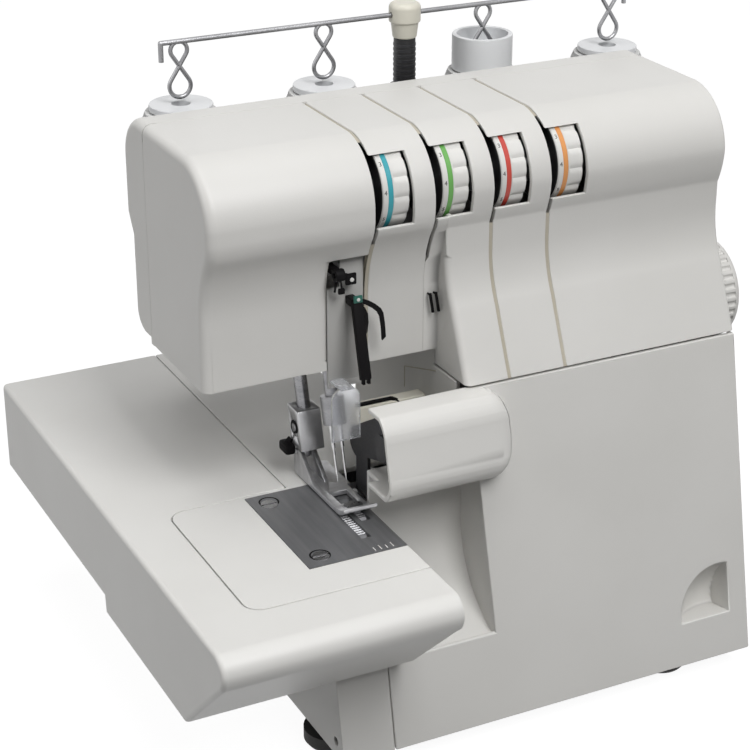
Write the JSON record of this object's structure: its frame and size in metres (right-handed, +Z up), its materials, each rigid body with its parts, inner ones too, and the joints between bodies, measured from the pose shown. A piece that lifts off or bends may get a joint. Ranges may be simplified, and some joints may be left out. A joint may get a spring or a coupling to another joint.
{
  "type": "overlock sewing machine",
  "caption": "White home overlock sewing machine with extension table, tension dials, presser foot, knives, hinged looper cover, handwheel and a thread stand with a telescopic guide rail",
  "frame": {"origin": "on the floor, under the middle of the machine's overall box", "axes": "+X to the machine's right (handwheel side), +Y to the back, +Z up"},
  "size_m": [0.339, 0.302, 0.317],
  "materials": {
    "shell_white": "smooth moulded white plastic",
    "table_white": "smooth moulded white plastic",
    "dial_white": "moulded plastic with ribs, numbers and a colour ring",
    "cream_plastic": "moulded cream plastic",
    "spool_plastic": "moulded translucent white plastic",
    "thread": "wound sewing thread",
    "black_plastic": "moulded black plastic",
    "clear_plastic": "clear moulded plastic",
    "plate_steel": "brushed grey steel",
    "bright_steel": "polished steel",
    "dark_steel": "darkened steel",
    "wire_steel": "drawn steel wire",
    "cast_aluminium": "die-cast aluminium",
    "bush_brass": "sintered bronze",
    "rubber_black": "moulded rubber"
  },
  "bodies": {
    "chassis": {"base_tray": "shell_white", "machine_frame": "cast_aluminium", "rear_cover": "shell_white", "head_cover": "shell_white", "tension_strip_1": "shell_white", "tension_strip_2": "shell_white", "tension_strip_3": "shell_white", "right_front_cover": "shell_white", "free_arm_cover": "table_white", "needle_plate": "plate_steel", "needle_plate_screws": "bright_steel", "rubber_feet": "rubber_black", "take_up_cover": "shell_white", "thread_guide_bar": "black_plastic", "thread_guide_hooks": "wire_steel", "finger_guard": "clear_plastic", "lower_knife": "bright_steel", "knife_guard": "cream_plastic", "motor_housing": "dark_steel", "power_inlet": "black_plastic", "spool_stand": "shell_white", "spool_pins": "wire_steel", "spool_holders": "spool_plastic", "spools": "spool_plastic", "thread_windings": "thread", "pole_tube": "black_plastic", "tension_posts": "bright_steel", "tension_discs": "bright_steel", "bushes": "bush_brass", "drive_belt": "rubber_black"},
    "extension_table": {"extension_table": "table_white"},
    "cover_slider": {"cover_rod": "wire_steel"},
    "looper_cover": {"looper_cover": "shell_white"},
    "drive_shaft": {"handwheel": "shell_white", "main_shaft": "bright_steel", "shaft_pulley": "dark_steel"},
    "motor_rotor": {"motor_rotor": "cast_aluminium"},
    "needle_bar": {"needle_bar": "bright_steel", "needle_clamp": "bright_steel", "needles": "bright_steel"},
    "presser_bar": {"presser_bar": "bright_steel", "foot_holder": "bright_steel"},
    "presser_foot": {"presser_foot": "bright_steel"},
    "lifter_lever": {"lifter_lever": "black_plastic"},
    "upper_knife": {"upper_knife": "dark_steel"},
    "upper_looper": {"upper_looper": "bright_steel"},
    "lower_looper": {"lower_looper": "bright_steel"},
    "main_feed_dog": {"main_feed_dog": "bright_steel"},
    "differential_feed_dog": {"differential_feed_dog": "bright_steel"},
    "tension_dial_1": {"tension_dial_1": "dial_white"},
    "tension_dial_2": {"tension_dial_2": "dial_white"},
    "tension_dial_3": {"tension_dial_3": "dial_white"},
    "tension_dial_4": {"tension_dial_4": "dial_white"},
    "stitch_length_dial": {"stitch_length_dial": "dial_white"},
    "power_switch": {"power_switch": "black_plastic"},
    "thread_pole": {"pole_stage": "black_plastic", "thread_rail": "wire_steel", "rail_cap": "cream_plastic"},
    "take_up_lever": {"take_up_lever": "black_plastic"}
  },
  "joints": [
    {"name": "table_slide", "type": "slide", "parent": "chassis", "child": "extension_table", "axis": [-1, 0, 0], "range_m": [0, 0.1]},
    {"name": "cover_shift", "type": "slide", "parent": "chassis", "child": "cover_slider", "axis": [1, 0, 0], "range_m": [0, 0.008], "stiffness_N_per_m": 150},
    {"name": "cover_hinge", "type": "hinge", "parent": "cover_slider", "child": "looper_cover", "pos_m": [0.0305, -0.092, 0.02], "axis": [1, 0, 0], "range_deg": [0, 85]},
    {"name": "handwheel_spin", "type": "hinge", "parent": "chassis", "child": "drive_shaft", "pos_m": [0.0305, -0.023, 0.179], "axis": [1, 0, 0], "continuous": true},
    {"name": "motor_spin", "type": "hinge", "parent": "chassis", "child": "motor_rotor", "pos_m": [0.0705, 0.014, 0.063], "axis": [1, 0, 0], "continuous": true},
    {"name": "needle_bar_slide", "type": "slide", "parent": "chassis", "child": "needle_bar", "axis": [0, -0.2588, -0.9659], "range_m": [0, 0.025]},
    {"name": "lifter_hinge", "type": "hinge", "parent": "chassis", "child": "lifter_lever", "pos_m": [-0.0695, 0.03, 0.184], "axis": [1, 0, 0], "range_deg": [0, 18]},
    {"name": "presser_slide", "type": "slide", "parent": "chassis", "child": "presser_bar", "axis": [0, 0.2588, 0.9659], "range_m": [0, 0.005]},
    {"name": "foot_tilt", "type": "hinge", "parent": "presser_bar", "child": "presser_foot", "pos_m": [-0.0695, -0.013, 0.131], "axis": [-1, 0, 0], "range_deg": [0, 5]},
    {"name": "upper_knife_swing", "type": "hinge", "parent": "chassis", "child": "upper_knife", "pos_m": [-0.0295, -0.039, 0.143], "axis": [1, 0, 0], "range_deg": [0, 10]},
    {"name": "upper_looper_swing", "type": "hinge", "parent": "chassis", "child": "upper_looper", "pos_m": [-0.0195, -0.026, 0.093], "axis": [0, 1, 0], "range_deg": [-8, 0]},
    {"name": "lower_looper_swing", "type": "hinge", "parent": "chassis", "child": "lower_looper", "pos_m": [-0.0295, -0.026, 0.058], "axis": [0, 1, 0], "range_deg": [-9, 0]},
    {"name": "main_feed_slide", "type": "slide", "parent": "chassis", "child": "main_feed_dog", "axis": [0, 1, 0], "range_m": [-0.002, 0.002]},
    {"name": "differential_feed_slide", "type": "slide", "parent": "chassis", "child": "differential_feed_dog", "axis": [0, 1, 0], "range_m": [-0.002, 0.002]},
    {"name": "dial_1_turn", "type": "hinge", "parent": "chassis", "child": "tension_dial_1", "pos_m": [-0.0395, -0.0275, 0.2635], "axis": [1, 0, 0], "range_deg": [-150, 150]},
    {"name": "dial_2_turn", "type": "hinge", "parent": "chassis", "child": "tension_dial_2", "pos_m": [-0.0095, -0.0275, 0.2635], "axis": [1, 0, 0], "range_deg": [-150, 150]},
    {"name": "dial_3_turn", "type": "hinge", "parent": "chassis", "child": "tension_dial_3", "pos_m": [0.0205, -0.0275, 0.2635], "axis": [1, 0, 0], "range_deg": [-150, 150]},
    {"name": "dial_4_turn", "type": "hinge", "parent": "chassis", "child": "tension_dial_4", "pos_m": [0.0505, -0.0275, 0.2635], "axis": [1, 0, 0], "range_deg": [-150, 150]},
    {"name": "length_dial_turn", "type": "hinge", "parent": "chassis", "child": "stitch_length_dial", "pos_m": [0.1365, 0.029, 0.162], "axis": [1, 0, 0], "range_deg": [-60, 60]},
    {"name": "power_switch_rock", "type": "hinge", "parent": "chassis", "child": "power_switch", "pos_m": [0.1355, 0.029, 0.126], "axis": [0, 1, 0], "range_deg": [0, 14]},
    {"name": "pole_lift", "type": "slide", "parent": "chassis", "child": "thread_pole", "axis": [0, 0, 1], "range_m": [0, 0.075]},
    {"name": "take_up_swing", "type": "hinge", "parent": "chassis", "child": "take_up_lever", "pos_m": [-0.0695, -0.02, 0.23], "axis": [1, 0, 0], "range_deg": [0, 15]}
  ],
  "couplings": [
    {"joint": "motor_spin", "follows": "handwheel_spin", "ratio": 2.2222},
    {"joint": "lifter_hinge", "follows": "presser_slide", "rad_per_m": 61.575},
    {"joint": "differential_feed_slide", "follows": "main_feed_slide", "ratio": 1},
    {"joint": "upper_knife_swing", "follows": "needle_bar_slide", "rad_per_m": 6.9743},
    {"joint": "upper_looper_swing", "follows": "needle_bar_slide", "rad_per_m": -5.5795},
    {"joint": "lower_looper_swing", "follows": "needle_bar_slide", "rad_per_m": -6.2769},
    {"joint": "take_up_swing", "follows": "needle_bar_slide", "rad_per_m": 10.461}
  ]
}
